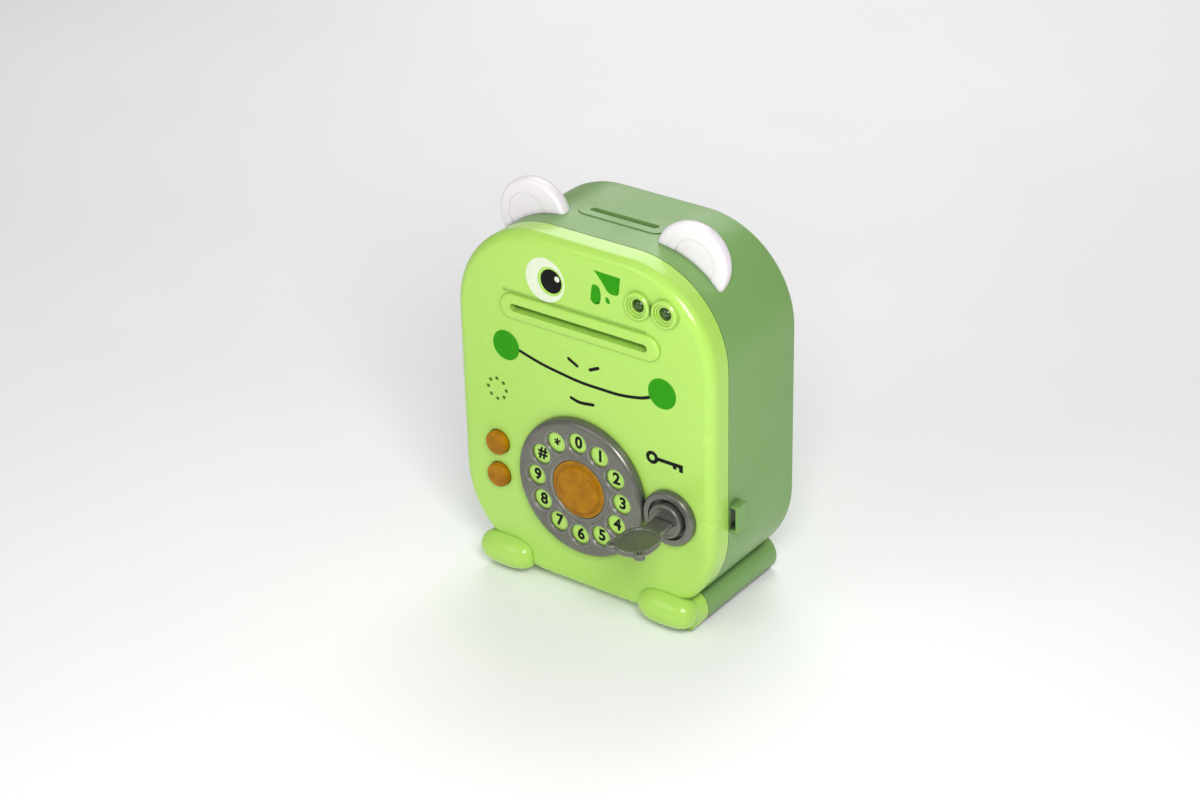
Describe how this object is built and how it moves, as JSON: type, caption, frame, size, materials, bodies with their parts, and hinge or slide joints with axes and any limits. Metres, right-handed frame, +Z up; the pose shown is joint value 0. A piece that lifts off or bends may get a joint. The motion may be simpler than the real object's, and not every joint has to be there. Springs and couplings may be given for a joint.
{
  "type": "toy atm savings bank",
  "caption": "Toy cash-machine savings bank with a frog-faced hinged door, key lock, spinning dial, push buttons, banknote feed and coin slot.",
  "frame": {"origin": "middle of the whole object's footprint, on the surface it stands on", "axes": "+Z up, the front with the dial faces -Y, +X to the right as seen from the front"},
  "size_m": [0.1756, 0.1254, 0.2261],
  "materials": {
    "sage_plastic": "satin",
    "lime_plastic": "gloss",
    "white_plastic": "gloss",
    "gunmetal_plastic": "satin metallic",
    "amber_plastic": "translucent gloss",
    "black_plastic": "matte",
    "steel": "plated",
    "ferrite": "matte",
    "board": "solder mask",
    "lens": "clear",
    "roller_rubber": "matte",
    "cell_jacket": "printed sleeve"
  },
  "bodies": {
    "case": {"case_shell": "sage_plastic", "rear_cover": "sage_plastic", "rear_cover_screws": "steel", "ear_left": "white_plastic", "ear_right": "white_plastic", "hinge_pins": "steel", "lock_strike": "steel"},
    "door": {"door_panel": "lime_plastic", "front_foot_left": "lime_plastic", "front_foot_right": "lime_plastic", "door_back_cover": "lime_plastic", "cover_screws": "steel", "dial_sleeve": "gunmetal_plastic", "sleeve_clip": "black_plastic", "indicator_lenses": "lens", "indicator_leds": "lens", "indicator_board": "board", "speaker_basket": "steel", "speaker_cone": "black_plastic", "speaker_magnet": "ferrite", "main_board": "board", "board_components": "black_plastic", "tactile_switches": "black_plastic", "board_screws": "steel", "lock_housing": "gunmetal_plastic", "lock_nut": "steel", "feed_frame": "lime_plastic", "feed_screws": "steel", "motor_can": "steel", "motor_end_cap": "white_plastic", "battery_tray": "black_plastic", "battery_contacts": "steel", "battery_cells": "cell_jacket", "battery_cover": "lime_plastic", "battery_cover_screw": "steel", "upper_button_spring": "steel", "lower_button_spring": "steel", "centre_button_spring": "steel"},
    "dial": {"dial_ring": "gunmetal_plastic"},
    "centre_button": {"centre_button": "amber_plastic"},
    "upper_button": {"upper_button": "amber_plastic"},
    "lower_button": {"lower_button": "amber_plastic"},
    "lock": {"lock_plug": "gunmetal_plastic", "lock_cam": "steel", "cam_screw": "steel"},
    "key": {"door_key": "gunmetal_plastic"},
    "upper_feed": {"upper_shaft": "steel", "upper_rollers": "roller_rubber", "drive_gear": "white_plastic", "upper_sync_gear": "white_plastic"},
    "lower_feed": {"lower_shaft": "steel", "lower_rollers": "roller_rubber", "lower_sync_gear": "white_plastic"},
    "motor_rotor": {"motor_pinion": "white_plastic"}
  },
  "joints": [
    {"name": "door_hinge", "type": "hinge", "parent": "case", "child": "door", "pos_m": [-0.0853, -0.00375, 0.12], "axis": [0, 0, -1], "range_deg": [0, 110]},
    {"name": "dial_spin", "type": "hinge", "parent": "door", "child": "dial", "pos_m": [0, -0.022, 0.0706], "axis": [0, -1, 0], "continuous": true},
    {"name": "centre_button_press", "type": "slide", "parent": "door", "child": "centre_button", "axis": [0, 1, 0], "range_m": [0, 0.0016], "stiffness_N_per_m": 300, "springref_m": -0.001, "deforming": ["centre_button_spring"]},
    {"name": "upper_button_press", "type": "slide", "parent": "door", "child": "upper_button", "axis": [0, 1, 0], "range_m": [0, 0.0016], "stiffness_N_per_m": 300, "springref_m": -0.001, "deforming": ["upper_button_spring"]},
    {"name": "lower_button_press", "type": "slide", "parent": "door", "child": "lower_button", "axis": [0, 1, 0], "range_m": [0, 0.0016], "stiffness_N_per_m": 300, "springref_m": -0.001, "deforming": ["lower_button_spring"]},
    {"name": "lock_turn", "type": "hinge", "parent": "door", "child": "lock", "pos_m": [0.0565, -0.02, 0.0703], "axis": [0, -1, 0], "range_deg": [0, 90]},
    {"name": "key_pull", "type": "slide", "parent": "lock", "child": "key", "axis": [0, -1, 0], "range_m": [0, 0.018]},
    {"name": "upper_feed_spin", "type": "hinge", "parent": "door", "child": "upper_feed", "pos_m": [0, 0.01025, 0.1711], "axis": [1, 0, 0], "continuous": true},
    {"name": "lower_feed_spin", "type": "hinge", "parent": "door", "child": "lower_feed", "pos_m": [0, 0.01025, 0.1609], "axis": [1, 0, 0], "continuous": true},
    {"name": "motor_spin", "type": "hinge", "parent": "door", "child": "motor_rotor", "pos_m": [0, 0.01025, 0.1849], "axis": [1, 0, 0], "continuous": true}
  ],
  "couplings": [
    {"joint": "lower_feed_spin", "follows": "upper_feed_spin", "ratio": -1},
    {"joint": "motor_spin", "follows": "upper_feed_spin", "ratio": -3.6}
  ]
}
